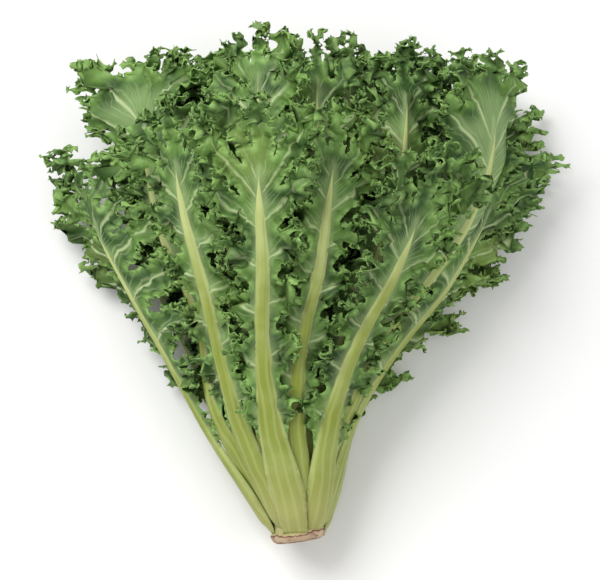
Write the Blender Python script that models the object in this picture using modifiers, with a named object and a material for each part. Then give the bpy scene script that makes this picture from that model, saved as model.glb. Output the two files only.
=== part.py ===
"""Head of curly escarole, cut at the root and lying on its side. Metres, +Z up.

Leaves grow in a spiral round a short domed stem. The head is laid out in its own
terms: distance from the cut, angle round the head (0 is straight up) and depth, which is 1
on the outside and falls towards the heart. Each leaf keeps to its own depth, so that
neighbours overlap without touching. The cut end points along -Y and the leaf tips along +Y.
"""

import math
import random

import bmesh
import bpy
from mathutils import Euler, Matrix, Vector

COLLECTION = "head_of_escarole"

# The head's cross-section at stations up its length: distance from the cut, half width, rise
# above the middle line, drop below it, height of that line, and how far it leans to the left
HEAD_STATIONS = (
    (0.000, 0.0165, 0.0165, 0.0165, 0.0285, 0.000),
    (0.012, 0.0195, 0.0195, 0.0195, 0.0295, 0.0015),
    (0.033, 0.0300, 0.0270, 0.0265, 0.0320, 0.0045),
    (0.068, 0.0480, 0.0410, 0.0360, 0.0370, 0.0090),
    (0.100, 0.0660, 0.0550, 0.0410, 0.0410, 0.008),
    (0.133, 0.0870, 0.0690, 0.0440, 0.0440, 0.003),
    (0.164, 0.1090, 0.0820, 0.0460, 0.0460, -0.003),
    (0.200, 0.1310, 0.0960, 0.0480, 0.0480, -0.006),
    (0.235, 0.1460, 0.1050, 0.0490, 0.0490, -0.009),
    (0.270, 0.1520, 0.1080, 0.0500, 0.0500, -0.009),
    (0.330, 0.1500, 0.1030, 0.0500, 0.0500, -0.009),
)

# Its own weight presses the head flat: it squares off the underside, spreads the lowest
# leaves out beside it and slopes the flanks
SQUARE_UNDERSIDE = 0.35
SPREAD_UNDERSIDE = 0.8
SLOPED_FLANKS = 0.32

# The spiral of leaves
LEAVES = 34
GOLDEN_ANGLE = 137.5
FIRST_ANGLE = -5.0
BASE_STEP = 0.0011  # how much further up the stem each leaf starts
FIRST_BASE = 0.004
BASE_DEPTH_STEP = 0.0275
SETTLED = 0.14  # distance from the cut by which the leaves have spread to their own angles
LAYER_GAP = (0.084, 0.105)  # depth between leaves that overlap: on top, and where they are pressed flat
SEED = 15

# Leaf form, outermost leaf then innermost
REACH_FRONT = 0.262
REACH_INNER = 0.316
REACH_SPREAD = 0.006
BLADE_WIDTH = (0.054, 0.019)
RIB_WIDTH = (0.0165, 0.0065)
RIB_THICKNESS = (0.0044, 0.0022)
RIB_REACH_SHARE = 0.26  # widest rib, as a share of its distance from the middle line
BLADE_THICKNESS = 0.0010
BLADE_START = 0.27  # share of the rib's length below the first lobe
RIB_EDGE = 1 / 3  # share of the half grid that the rib takes where the blade is wide
VEIN_LEAN = 70.0
LOBES = 6
NOTCH_DEPTH = (0.70, 0.15)  # at the lowest lobe and at the tip
RIB_WING = 0.0050  # blade left along the rib at the foot of a notch
STRIP_SHARE = 0.4  # how much of that the grid's inner columns take

# Outer leaves on the upper side open away from the head
FLARE = 0.13
FLARE_RANKS = 10

# Ruffles are one field that all the leaves share, so that no leaf is pushed through another
RUFFLE_DEPTH = 0.046
RUFFLE_LENGTH = 0.031
RUFFLES_ROUND = 19

# The grid that a leaf is bent from: rows along it and cuts in each row's margin, for the
# outer leaves and for those inside
COLUMNS = 6
OUTER_RANKS = 16
OUTER_GRID = (10, 3)
INNER_GRID = (8, 2)

# Leaves measured in the photograph: rank in the spiral, then angle above the base and reach
PLACED_LEAVES = {
    0: (-11.0, 0.262),
    1: (149.0, 0.300),
    2: (-90.0, 0.256),
    3: (36.0, 0.236),
    5: (-38.0, 0.270),
    6: (88.0, 0.256),
    8: (8.0, 0.262),
    10: (-66.0, 0.302),
    11: (66.0, 0.304),
}

# Leaves at the sides turn their faces up, as the lower half of the blade swings out: how far,
# and the distances where that begins and ends
SWINGS = {
    2: (0.10, 0.10, 0.20),
    6: (0.16, 0.10, 0.20),
    10: (0.24, 0.246, 0.285),
    11: (0.24, 0.268, 0.300),
}
NO_SWING = (0.0, 0.10, 0.20)

# The stem
STEM_RADIUS = 0.0150
STEM_KNOB = 0.006
STEM_TIP = 0.043
STEM_GAP = 0.0006

# How the head settles: a small turn, in degrees, on to its three lowest points, and the move
# that puts the origin under the middle of its box
REST_TURN = (-0.735, -2.103, 0.013)
REST_SHIFT = (0.00045, -0.16139, 0.00284)


def smooth(x):
    x = min(max(x, 0.0), 1.0)
    return x * x * (3 - 2 * x)


def mix(a, b, share):
    return a + (b - a) * share


def station_value(distance, column):
    """The head's measure in that column at a distance from the cut, on a smooth curve."""
    points = [(station[0], station[column]) for station in HEAD_STATIONS]
    distance = min(max(distance, points[0][0]), points[-1][0])
    k = next(i for i in range(len(points) - 1) if distance <= points[i + 1][0])
    slopes = []
    for i in (k, k + 1):
        before, after = points[max(i - 1, 0)], points[min(i + 1, len(points) - 1)]
        slopes.append((after[1] - before[1]) / (after[0] - before[0]))
    (x0, y0), (x1, y1) = points[k], points[k + 1]
    step = x1 - x0
    u = (distance - x0) / step
    return (
        y0 * (1 + 2 * u) * (1 - u) ** 2
        + y1 * u * u * (3 - 2 * u)
        + slopes[0] * step * u * (1 - u) ** 2
        - slopes[1] * step * u * u * (1 - u)
    )


def section(distance):
    """Half width, rise, drop, height of the middle line and lean, at a distance."""
    return tuple(station_value(distance, column) for column in range(1, 6))


def head_point(distance, angle, depth):
    """A place in the head, in metres."""
    half_width, rise, drop, middle, lean = section(distance)
    crown = smooth((distance - 0.05) / 0.12)
    up, out = math.cos(angle), math.sin(angle)
    if up > 0:
        up *= rise * (1 - SLOPED_FLANKS * crown * out * out)
    else:
        up *= drop * (1 + SQUARE_UNDERSIDE * out * out) * (1 - SLOPED_FLANKS * crown * out ** 8)
        out *= 1 + mix(SQUARE_UNDERSIDE, SPREAD_UNDERSIDE, crown) * (1 - out * out)
    return Vector((depth * half_width * out - lean, distance, middle + depth * up))


def arc_rate(distance, angle):
    """Metres round the outside of the head for each radian."""
    half_width, rise, drop, _, _ = section(distance)
    side = rise if math.cos(angle) > 0 else drop
    return math.hypot(half_width * math.cos(angle), side * math.sin(angle))


def leaf_facts(rank, rng):
    """What sets one leaf apart, from its place in the spiral."""
    share = rank / (LEAVES - 1)
    base_angle = math.radians((FIRST_ANGLE + GOLDEN_ANGLE * rank + 180) % 360 - 180)
    angle = base_angle + math.radians(rng.uniform(-3, 3))
    behind = (1 - math.cos(angle)) / 2
    reach = mix(REACH_FRONT, REACH_INNER, max(behind, min(1.0, rank / 12)))
    reach += rng.uniform(-REACH_SPREAD, REACH_SPREAD)
    if rank in PLACED_LEAVES:
        placed, reach = PLACED_LEAVES[rank]
        angle = math.radians(placed)
    return {
        "rank": rank,
        "base_depth": 1 - BASE_DEPTH_STEP * rank,
        "base_angle": base_angle,
        "angle": angle,
        "base": FIRST_BASE + BASE_STEP * rank,
        "reach": reach,
        "blade": mix(*BLADE_WIDTH, share) * rng.uniform(0.93, 1.07),
        "rib": mix(*RIB_WIDTH, share) / 2,
        "thickness": mix(*RIB_THICKNESS, share),
        "flare": FLARE * max(0.0, 1 - rank / FLARE_RANKS),
        "swing": SWINGS.get(rank, NO_SWING),
        "phases": (rng.random(), rng.random()),
    }


def tightness(depth):
    """How much of the outer leaves' room and ruffle is left towards the heart."""
    return mix(0.5, 1.0, depth)


def turn_between(a, b):
    return abs((a - b + math.pi) % math.tau - math.pi)


def set_crown_depths(leaves):
    """Each leaf lies just inside the outer leaves that it overlaps."""
    for leaf in leaves:
        leaf["depth"] = 1.0
        crown = min(leaf["reach"] - leaf["blade"], 0.235)
        gap = mix(*LAYER_GAP, (1 - math.cos(leaf["angle"])) / 2)
        for outer in leaves[: leaf["rank"]]:
            depth = outer["depth"] - gap * tightness(outer["depth"])
            spread = leaf["blade"] / depth + outer["blade"] / outer["depth"]
            if turn_between(leaf["angle"], outer["angle"]) < spread / arc_rate(crown, leaf["angle"]):
                leaf["depth"] = min(leaf["depth"], depth)


def blade_reach(leaf, along, side):
    """Length of the vein that leaves the rib at this share of its length.

    Given to the strip that the notches leave along the rib, and to the margin.
    """
    if along < BLADE_START:
        return 0.0, 0.0
    grown = (along - BLADE_START) / (1 - BLADE_START)
    envelope = leaf["blade"] * smooth(grown / 0.8) ** 0.8 * (1 - 0.2 * smooth((grown - 0.75) / 0.25))
    phase = leaf["phases"][0 if side < 0 else 1] * (1 - smooth((grown - 0.8) / 0.2))
    notch = (0.5 + 0.5 * math.cos(math.tau * (LOBES * grown + phase))) ** 1.5
    depth = mix(*NOTCH_DEPTH, smooth(grown / 0.85))
    strip = STRIP_SHARE * (RIB_WING + envelope * (1 - depth))
    return strip, RIB_WING + envelope * (1 - depth * notch)


def rib_half_width(leaf, along, distance):
    fullness = mix(0.62, 1.0, smooth(along / 0.15)) * mix(1.0, 0.18, smooth((along - 0.3) / 0.7))
    limit = RIB_REACH_SHARE * leaf["base_depth"] * section(distance)[1]
    return min(leaf["rib"] * fullness, limit)


def ruffle(distance, angle):
    return (math.cos(math.tau * distance / RUFFLE_LENGTH) + math.cos(RUFFLES_ROUND * angle)) / 2


def rib_distance(leaf, along):
    """Distance from the cut of a point on the rib. The veins crowd together near its end."""
    end = leaf["reach"] - blade_reach(leaf, 1.0, 1)[1]
    return mix(leaf["base"], end, 1 - (1 - along) ** 1.6)


def leaf_place(leaf, along, across):
    """Where a point of the leaf lies, and how thick the leaf is there."""
    side = -1 if across < 0 else 1
    out = abs(across)
    distance = rib_distance(leaf, along)
    half = rib_half_width(leaf, along, distance)
    rib_edge = 1.0 if along < BLADE_START else RIB_EDGE
    rib_offset = half * min(1.0, out / rib_edge)
    outward = max(0.0, out - rib_edge) / max(1 - rib_edge, 1e-6)
    strip, margin = blade_reach(leaf, along, side)
    vein = mix(0, strip, 2 * outward) if outward < 0.5 else mix(strip, margin, 2 * outward - 1)
    lean = math.radians(VEIN_LEAN) * (1 - max(0.0, (along - 0.3) / 0.7) ** 2.2)
    sideways = rib_offset * (1 - smooth((along - 0.9) / 0.1)) + vein * math.sin(lean)
    distance += vein * math.cos(lean)
    settled = smooth(distance / SETTLED)
    angle = mix(leaf["base_angle"], leaf["angle"], settled)
    depth = mix(leaf["base_depth"], leaf["depth"], settled)
    angle += side * sideways / (depth * arc_rate(distance, angle))
    crown = smooth((along - BLADE_START) / 0.4)
    spread = outward * outward
    depth += RUFFLE_DEPTH * tightness(leaf["depth"]) * spread * crown * ruffle(distance, angle)
    facing = min(max(0.5 + 0.8 * math.cos(angle), 0.0), 1.0)
    depth += leaf["flare"] * facing * crown * (0.35 * crown + 0.65 * spread)
    swing, begins, ends = leaf["swing"]
    if side * angle > 0:
        depth += swing * outward * smooth((distance - begins) / (ends - begins))
    place = head_point(distance, angle, depth)
    fullness = mix(0.7, 1.0, smooth(along / 0.12)) * mix(1.0, 0.3, smooth((along - 0.3) / 0.7))
    bulge = math.sqrt(max(0.0, 1 - (rib_offset / half) ** 2))
    return place, BLADE_THICKNESS + leaf["thickness"] * fullness * bulge


def leaf_sheet(rows, margin_cuts):
    """A flat grid: x from -1 to 1 across the leaf, y from -1 to 1 along it, finer at the margin."""
    sheet = bmesh.new()
    bmesh.ops.create_grid(sheet, x_segments=COLUMNS, y_segments=rows, size=1)
    margin = [
        edge
        for edge in sheet.edges
        if all(abs(vertex.co.x) > 0.99 for vertex in edge.verts)
        and min(vertex.co.y for vertex in edge.verts) > 2 * BLADE_START - 1
    ]
    bmesh.ops.bisect_edges(sheet, edges=margin, cuts=margin_cuts)
    bmesh.ops.triangulate(sheet, faces=sheet.faces, quad_method="FIXED", ngon_method="BEAUTY")
    return sheet


def make_leaf(leaf, material, collection):
    name = f"leaf_{leaf['rank'] + 1:02d}"
    sheet = leaf_sheet(*(OUTER_GRID if leaf["rank"] < OUTER_RANKS else INNER_GRID))
    thickest = BLADE_THICKNESS + leaf["thickness"]
    share = sheet.verts.layers.float.new("share")
    for vertex in sheet.verts:
        vertex.co, thickness = leaf_place(leaf, (vertex.co.y + 1) / 2, vertex.co.x)
        vertex[share] = thickness / thickest
    bmesh.ops.remove_doubles(sheet, verts=sheet.verts, dist=1e-5)
    shares = [vertex[share] for vertex in sheet.verts]
    mesh = bpy.data.meshes.new(name)
    sheet.to_mesh(mesh)
    sheet.free()
    mesh.materials.append(material)
    mesh.shade_smooth()
    leaf_object = bpy.data.objects.new(name, mesh)
    collection.objects.link(leaf_object)
    group = leaf_object.vertex_groups.new(name="thickness")
    for index, amount in enumerate(shares):
        group.add([index], amount, "REPLACE")
    solid = leaf_object.modifiers.new("leaf thickness", "SOLIDIFY")
    solid.thickness = thickest
    solid.vertex_group = group.name
    solid.offset = 1
    return leaf_object


def make_stem(material, collection):
    """A short turned stem: a knob at the cut, then a dome that the leaves grow from."""
    profile = [(0.0, 0.0), (STEM_RADIUS, 0.0), (STEM_RADIUS + 0.0018, 0.0022)]
    steps = 9
    for k in range(steps + 1):
        distance = mix(STEM_KNOB, STEM_TIP, k / steps)
        rank = (distance - FIRST_BASE) / BASE_STEP
        depth = max(1 - BASE_DEPTH_STEP * max(rank, 0.0), 0.0)
        _, rise, drop, _, _ = section(distance)
        profile.append((max(depth * min(rise, drop) - STEM_GAP, 0.0), distance))
    profile.append((0.0, STEM_TIP + 0.002))
    mesh = bpy.data.meshes.new("stem")
    mesh.from_pydata(
        [(radius, 0, -distance) for radius, distance in profile],
        [(k, k + 1) for k in range(len(profile) - 1)],
        [],
    )
    mesh.materials.append(material)
    stem = bpy.data.objects.new("stem", mesh)
    collection.objects.link(stem)
    turn = stem.modifiers.new("turned", "SCREW")
    turn.steps = turn.render_steps = 20
    turn.use_merge_vertices = True
    turn.merge_threshold = 1e-5
    foot, top = head_point(0, 0, 0), head_point(STEM_TIP, 0, 0)
    stem.rotation_euler = (foot - top).to_track_quat("Z", "Y").to_euler()
    stem.location = foot
    return stem


def make_material(name, colour, roughness):
    material = bpy.data.materials.new(name)
    material.use_nodes = True
    shader = material.node_tree.nodes["Principled BSDF"]
    shader.inputs["Base Color"].default_value = (*colour, 1)
    shader.inputs["Roughness"].default_value = roughness
    shader.inputs["Metallic"].default_value = 0
    return material


def main():
    for old in list(bpy.data.objects):
        bpy.data.objects.remove(old)
    collection = bpy.data.collections.new(COLLECTION)
    bpy.context.scene.collection.children.link(collection)
    leaf_green = make_material("leaf_green", (0.16, 0.30, 0.06), 0.45)
    cut_stem = make_material("cut_stem", (0.45, 0.30, 0.18), 0.7)
    rng = random.Random(SEED)
    leaves = [leaf_facts(rank, rng) for rank in range(LEAVES)]
    set_crown_depths(leaves)
    for leaf in leaves:
        make_leaf(leaf, leaf_green, collection)
    make_stem(cut_stem, collection)
    turn = Euler([math.radians(degrees) for degrees in REST_TURN])
    settled = Matrix.Translation(REST_SHIFT) @ turn.to_matrix().to_4x4()
    for piece in collection.objects:
        piece.matrix_basis = settled @ piece.matrix_basis


main()
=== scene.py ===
import math
import random

import bpy
import numpy as np
from mathutils import Euler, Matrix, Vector, geometry


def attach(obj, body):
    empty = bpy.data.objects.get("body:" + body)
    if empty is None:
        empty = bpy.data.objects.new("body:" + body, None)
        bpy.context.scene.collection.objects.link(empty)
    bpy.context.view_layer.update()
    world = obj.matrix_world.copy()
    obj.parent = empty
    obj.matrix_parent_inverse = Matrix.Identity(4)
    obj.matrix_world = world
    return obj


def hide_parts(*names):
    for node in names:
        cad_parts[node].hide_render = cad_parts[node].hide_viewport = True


# A head of curly escarole, cut and lying on its side. Lengths are in metres.
# Each leaf is cut as a flat pattern (x across the rib, y up it), frilled along its
# margin, bent on to its own layer of the head and given its thickness.

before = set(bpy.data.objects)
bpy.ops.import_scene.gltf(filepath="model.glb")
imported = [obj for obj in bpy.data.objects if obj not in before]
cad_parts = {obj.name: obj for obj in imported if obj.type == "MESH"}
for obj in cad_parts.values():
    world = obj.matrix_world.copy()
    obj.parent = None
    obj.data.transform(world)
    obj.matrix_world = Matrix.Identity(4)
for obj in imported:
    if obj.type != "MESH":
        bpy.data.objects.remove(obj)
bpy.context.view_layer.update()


# small sums, for single numbers and for whole arrays. In the settings below, two numbers
# with a verb for their name are where something begins and the length that it takes,
# unless a note says otherwise.

def smooth(x):
    x = np.clip(x, 0.0, 1.0)
    return x * x * (3 - 2 * x)


def mix(a, b, share):
    return a + (b - a) * share


# 0 up to where it begins, 1 from this length further on, smooth between
def ease(x, begins, length):
    return smooth((x - begins) / length)


# random values joined smoothly, one for each step of length
def wander(lengths, step, rng):
    at = lengths / step
    k = at.astype(int)
    knots = rng.uniform(-1, 1, k.max() + 2)
    return mix(knots[k], knots[k + 1], smooth(at - k))


# the form of the head, as in the solids

head = {
    # distance from the cut, half width, rise, drop, height of the middle, lean to the left
    "stations": (
        (0.000, 0.0165, 0.0165, 0.0165, 0.0285, 0.000),
        (0.012, 0.0195, 0.0195, 0.0195, 0.0295, 0.0015),
        (0.033, 0.0300, 0.0270, 0.0265, 0.0320, 0.0045),
        (0.068, 0.0480, 0.0410, 0.0360, 0.0370, 0.0090),
        (0.100, 0.0660, 0.0550, 0.0410, 0.0410, 0.008),
        (0.133, 0.0870, 0.0690, 0.0440, 0.0440, 0.003),
        (0.164, 0.1090, 0.0820, 0.0460, 0.0460, -0.003),
        (0.200, 0.1310, 0.0960, 0.0480, 0.0480, -0.006),
        (0.235, 0.1460, 0.1050, 0.0490, 0.0490, -0.009),
        (0.270, 0.1520, 0.1080, 0.0500, 0.0500, -0.009),
        (0.330, 0.1500, 0.1030, 0.0500, 0.0500, -0.009),
    ),
    "squareUnderside": 0.35,
    "spreadUnderside": 0.8,
    "slopedFlanks": 0.32,
    "cornerPower": 8,  # how sharply the slope of the underside sets in at its corners
    "crowns": (0.05, 0.12),
    "settled": 0.14,  # by this distance the leaves stand at their own angles
    "restTurn": (-0.735, -2.103, 0.013),  # degrees
    "restShift": (0.00045, -0.16139, 0.00284),
    "tableClearance": 0.0007,
}

stations = np.array(head["stations"])
before = stations[[max(k - 1, 0) for k in range(len(stations))]]
after = stations[[min(k + 1, len(stations) - 1) for k in range(len(stations))]]
stationSlopes = (after - before)[:, 1:] / (after - before)[:, :1]


# half width, rise, drop, height of the middle and lean at a distance from the cut
def section(distance):
    distance = np.clip(distance, stations[0, 0], stations[-1, 0])
    k = np.clip(np.searchsorted(stations[:, 0], distance) - 1, 0, len(stations) - 2)
    step = stations[k + 1, 0] - stations[k, 0]
    u = ((distance - stations[k, 0]) / step)[..., None]
    step = step[..., None]
    value = (
        stations[k, 1:] * (1 + 2 * u) * (1 - u) ** 2
        + stations[k + 1, 1:] * u * u * (3 - 2 * u)
        + stationSlopes[k] * step * u * (1 - u) ** 2
        - stationSlopes[k + 1] * step * u * u * (1 - u)
    )
    return np.moveaxis(value, -1, 0)


def headPoint(distance, angle, depth):
    halfWidth, rise, drop, middle, lean = section(distance)
    crown = ease(distance, *head["crowns"])
    up, out = np.cos(angle), np.sin(angle)
    above = up * rise * (1 - head["slopedFlanks"] * crown * out * out)
    below = up * drop * (1 + head["squareUnderside"] * out * out) * (
        1 - head["slopedFlanks"] * crown * out ** head["cornerPower"])
    spread = 1 + mix(head["squareUnderside"], head["spreadUnderside"], crown) * (1 - out * out)
    x = depth * halfWidth * np.where(up > 0, out, out * spread) - lean
    z = middle + depth * np.where(up > 0, above, below)
    return np.stack([x, distance, z], -1)


def arcRate(distance, angle):
    halfWidth, rise, drop, _, _ = section(distance)
    side = np.where(np.cos(angle) > 0, rise, drop)
    return np.hypot(halfWidth * np.cos(angle), side * np.sin(angle))


restTurn = Euler([math.radians(degrees) for degrees in head["restTurn"]]).to_matrix()
restTurn = np.array(restTurn)


# the whole head turned on to its lowest points, as the solids are
def atRest(points):
    return points @ restTurn.T + np.array(head["restShift"])


# the spiral of leaves, with the same draws as the solids

spiral = {
    "leaves": 34,
    "goldenAngle": 137.5,
    "firstAngle": -5.0,
    "firstBase": 0.004,
    "baseStep": 0.0011,
    "baseDepthStep": 0.0275,
    "footStep": 0.0007,  # the outer feet reach down into the collar of the stem
    "footRanks": 8,
    "angleSpread": 3,  # degrees
    "layerGap": (0.084, 0.105),
    "reach": (0.262, 0.316),
    "reachSpread": 0.006,
    "reachRanks": 12,  # from this rank on, the leaves at the front reach as far as the others
    "bladeWidth": (0.054, 0.019),
    "bladeSpread": (0.93, 1.07),
    "ribWidth": (0.0165, 0.0065),
    "ribThickness": (0.0044, 0.0022),
    "flare": 0.13,
    "flareRanks": 10,
    "crownDistance": 0.235,  # where neighbours are compared, from the cut
    "heartTightness": 0.5,  # the layers of the heart lie this much closer
    "seed": 15,
    # rank: angle above the base, reach
    "placed": {
        0: (-11.0, 0.262), 1: (149.0, 0.300), 2: (-90.0, 0.256), 3: (36.0, 0.236),
        5: (-38.0, 0.270), 6: (88.0, 0.256), 8: (8.0, 0.262), 10: (-66.0, 0.302),
        11: (66.0, 0.304),
    },
    # rank: the fans at the top corners, how much longer and how many times as broad
    "cornerFans": {10: (0.006, 1.15), 11: (0.002, 1.12)},
    # rank: how far the lower half of a side leaf swings out, and between which distances
    "swings": {
        2: (0.10, 0.10, 0.20), 6: (0.16, 0.10, 0.20), 10: (0.24, 0.246, 0.285),
        11: (0.08, 0.268, 0.300),
    },
    "noSwing": (0.0, 0.10, 0.20),
}


def leafFacts(rank, rng):
    share = rank / (spiral["leaves"] - 1)
    turn = spiral["firstAngle"] + spiral["goldenAngle"] * rank
    baseAngle = math.radians((turn + 180) % 360 - 180)
    angle = baseAngle + math.radians(
        rng.uniform(-spiral["angleSpread"], spiral["angleSpread"]))
    behind = (1 - math.cos(angle)) / 2
    reach = mix(*spiral["reach"], max(behind, min(1.0, rank / spiral["reachRanks"])))
    reach += rng.uniform(-spiral["reachSpread"], spiral["reachSpread"])
    if rank in spiral["placed"]:
        placed, reach = spiral["placed"][rank]
        angle = math.radians(placed)
    lower = spiral["footStep"] * min(rank, spiral["footRanks"])
    return {
        "rank": rank,
        "name": f"leaf_{rank + 1:02d}",
        "share": share,
        "baseDepth": 1 - spiral["baseDepthStep"] * rank,
        "baseAngle": baseAngle,
        "angle": angle,
        "base": spiral["firstBase"] + spiral["baseStep"] * rank - lower,
        "reach": reach,
        "blade": mix(*spiral["bladeWidth"], share) * rng.uniform(*spiral["bladeSpread"]),
        "rib": mix(*spiral["ribWidth"], share) / 2,
        "thickness": mix(*spiral["ribThickness"], share),
        "flare": spiral["flare"] * max(0.0, 1 - rank / spiral["flareRanks"]),
        "swing": spiral["swings"].get(rank, spiral["noSwing"]),
        "phases": (rng.random(), rng.random()),
    }


def tightness(depth):
    return mix(spiral["heartTightness"], 1.0, depth)


def turnBetween(a, b):
    return np.abs((a - b + math.pi) % math.tau - math.pi)


# each leaf lies just inside the outer leaves that it overlaps
def setCrownDepths(leaves):
    for leaf in leaves:
        leaf["depth"] = 1.0
        crown = min(leaf["reach"] - leaf["blade"], spiral["crownDistance"])
        gap = mix(*spiral["layerGap"], (1 - math.cos(leaf["angle"])) / 2)
        for outer in leaves[: leaf["rank"]]:
            depth = outer["depth"] - gap * tightness(outer["depth"])
            spread = leaf["blade"] / depth + outer["blade"] / outer["depth"]
            room = spread / arcRate(np.array(crown), leaf["angle"])
            if turnBetween(leaf["angle"], outer["angle"]) < room:
                leaf["depth"] = min(leaf["depth"], depth)


growRng = random.Random(spiral["seed"])
leaves = [leafFacts(rank, growRng) for rank in range(spiral["leaves"])]
setCrownDepths(leaves)
for rank, (longer, broader) in spiral["cornerFans"].items():
    leaves[rank]["reach"] += longer
    leaves[rank]["blade"] *= broader
print("leaves laid out:", len(leaves))


# the flat pattern of a leaf: rib, veins and the lobed outline

pattern = {
    # the rib
    "ribCurve": 1.6,  # above 1, its upper part takes up more of its veins
    "slimRib": 0.52,  # width of a rib half way up, as a share of its lower part
    "slims": (0.04, 0.09),
    "tipRib": 0.3,
    "narrows": (0.45, 0.55),
    "closes": (0.9, 0.1),
    "sheath": 0.50,  # the foot of a leaf is broader by this share, and wraps round the head
    "sheathEnds": (0.015, 0.075),
    "ribReachShare": 0.47,
    "ribWing": 0.0030,
    "innerWing": 0.0070,  # strip of blade beside the lower ribs of the inner leaves
    "innerRank": 9,
    "wingFull": 0.05,
    # the veins and the width of the blade, by their share of the rib above bladeStart
    "bladeStart": 0.17,
    "bladeFull": 0.8,
    "fullness": 1.3,  # above 1, the blade is narrow low down and broad at the top
    "frontFullness": {0: 4.4, 3: 3.8, 5: 3.2, 8: 4.0, 2: 1.0, 6: 0.9, 10: 0.8, 11: 0.8},
    "topNarrower": 0.2,
    "topNarrows": (0.75, 0.25),
    "beyondTip": 0.85,  # share of the blade's width that stands beyond the tip of the rib
    "lowLobe": 0.015,  # the short lobes beside the lower rib
    "lowLobeFull": 0.14,
    "lowLobeFades": (0.3, 0.4),
    "veinLean": 70.0,  # degrees from the rib
    "leanFades": (0.3, 0.7),
    "leanPower": 2.2,
    "fan": 7.0,  # degrees that the veins of a lobe spread apart
    "fanFull": 0.1,
    "fanFades": (0.85, 0.15),
    # lobes and the notches between them
    "lobes": 7,
    "lobesFull": 0.12,
    "phaseFades": (0.8, 0.2),
    "lastTurns": (0.7, 0.3),  # half a lobe more, so that both sides meet in one at the tip
    "notchDepth": (0.96, 0.74),
    "notchDepthEnds": 0.9,
    "notchNarrow": 1.25,
    "calmFans": {10: 0.40, 11: 0.50},  # fans with shallow notches, by rank
    "calms": (0.3, 0.3),
    # pitch and depth of the scallops along a lobe, and of the teeth along a scallop
    "scallops": ((0.0098, 0.0057), (0.0036, 0.0020)),
    # how much their pitch and their depth vary, and over how many pitches
    "pitchVaries": (0.35, 2.5),
    "depthVaries": (0.4, 1.7),
    # the mesh
    "outlineSteps": 700,
    "veinSteps": 320,
    "scallopStep": 0.0004,
    "marginSpacing": (0.00044, 0.00080),  # outermost and innermost leaf
    "stalkSpacing": 0.0045,
    "fineBelow": 0.006,  # the close spacing begins this far below the blade
    # rows that follow the margin: how far inside it, and the spacing along them
    "marginRows": ((1.3, 1.25), (3.0, 1.8), (5.4, 2.5), (8.6, 3.3), (12.6, 4.2)),
    "rowClearance": 0.85,
    "rowCell": 0.7,
    # the grid between them
    "innerSpacing": 4.6,
    "innerShift": 0.1,
    "innerClearance": 2.4,
    "innerCell": 0.5,
    "besideRib": 0.0008,
    "belowBlade": 0.004,
    # the rows across the rib: their spacing, their ends and where their points lie
    "ribSpacing": 0.0034,
    "ribEnds": 0.002,
    "ribClearance": 0.0005,
    "acrossRib": (-0.97, -0.72, -0.38, 0.0, 0.38, 0.72, 0.97),
    "leastRoom": 0.003,
}


def ribAlong(leaf, distance):
    end = ribEnd(leaf)
    left = np.clip(1 - (distance - leaf["base"]) / (end - leaf["base"]), 0.0, 1.0)
    return 1 - left ** (1 / pattern["ribCurve"])


def ribDistance(leaf, along):
    return mix(leaf["base"], ribEnd(leaf), 1 - (1 - along) ** pattern["ribCurve"])


def ribEnd(leaf):
    beyond = leaf["blade"] * (1 - pattern["topNarrower"]) * pattern["beyondTip"]
    return leaf["reach"] - pattern["ribWing"] - beyond


def ribHalfWidth(leaf, along, distance):
    slim = mix(1.0, pattern["slimRib"], ease(distance, *pattern["slims"]))
    slim = slim * mix(1.0, pattern["tipRib"], ease(along, *pattern["narrows"]))
    sheath = 1 + pattern["sheath"] * (1 - ease(distance, *pattern["sheathEnds"]))
    limit = pattern["ribReachShare"] * leaf["baseDepth"] * section(distance)[1]
    return np.minimum(leaf["rib"] * slim * sheath, limit)


def ribHalfAt(leaf, distance):
    return ribHalfWidth(leaf, ribAlong(leaf, distance), distance)


# the same, closing to a point where the last veins leave it
def closingRib(leaf, along, distance):
    return ribHalfWidth(leaf, along, distance) * (1 - ease(along, *pattern["closes"]))


# for the vein that leaves the rib at this share of its length: its length, its lean, the
# count of lobes up to it, the blade's width there without notches, and 0 in a notch to 1
# in the middle of a lobe
def veins(leaf, along, side):
    start = pattern["bladeStart"]
    grown = np.clip((along - start) / (1 - start), 0.0, 1.0)
    fullness = pattern["frontFullness"].get(leaf["rank"], pattern["fullness"])
    narrower = 1 - pattern["topNarrower"] * ease(grown, *pattern["topNarrows"])
    envelope = leaf["blade"] * smooth(grown / pattern["bladeFull"]) ** fullness * narrower
    lowFades = 1 - ease(grown, *pattern["lowLobeFades"])
    envelope += pattern["lowLobe"] * smooth(grown / pattern["lowLobeFull"]) * lowFades
    phase = leaf["phases"][0 if side < 0 else 1] * (1 - ease(grown, *pattern["phaseFades"]))
    turn = pattern["lobes"] * grown + phase + 0.5 * ease(grown, *pattern["lastTurns"])
    notch = (0.5 + 0.5 * np.cos(math.tau * turn)) ** pattern["notchNarrow"]
    calm = pattern["calmFans"].get(leaf["rank"], 1.0)
    depth = mix(*pattern["notchDepth"], smooth(grown / pattern["notchDepthEnds"]))
    depth = depth * mix(1.0, calm, ease(grown, *pattern["calms"]))
    wing = pattern["ribWing" if leaf["rank"] < pattern["innerRank"] else "innerWing"]
    wing = wing * smooth(grown / pattern["wingFull"])
    begins, over = pattern["leanFades"]
    upright = np.clip((along - begins) / over, 0, 1) ** pattern["leanPower"]
    lean = math.radians(pattern["veinLean"]) * (1 - upright)
    fan = math.radians(pattern["fan"]) * smooth(grown / pattern["fanFull"])
    fan = fan * (1 - ease(grown, *pattern["fanFades"]))
    lean = lean + fan * np.sin(math.tau * turn)
    lobed = (1 - notch) * smooth(grown / pattern["lobesFull"])
    return wing + envelope * (1 - depth * notch), lean, turn, envelope + wing, lobed


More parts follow.
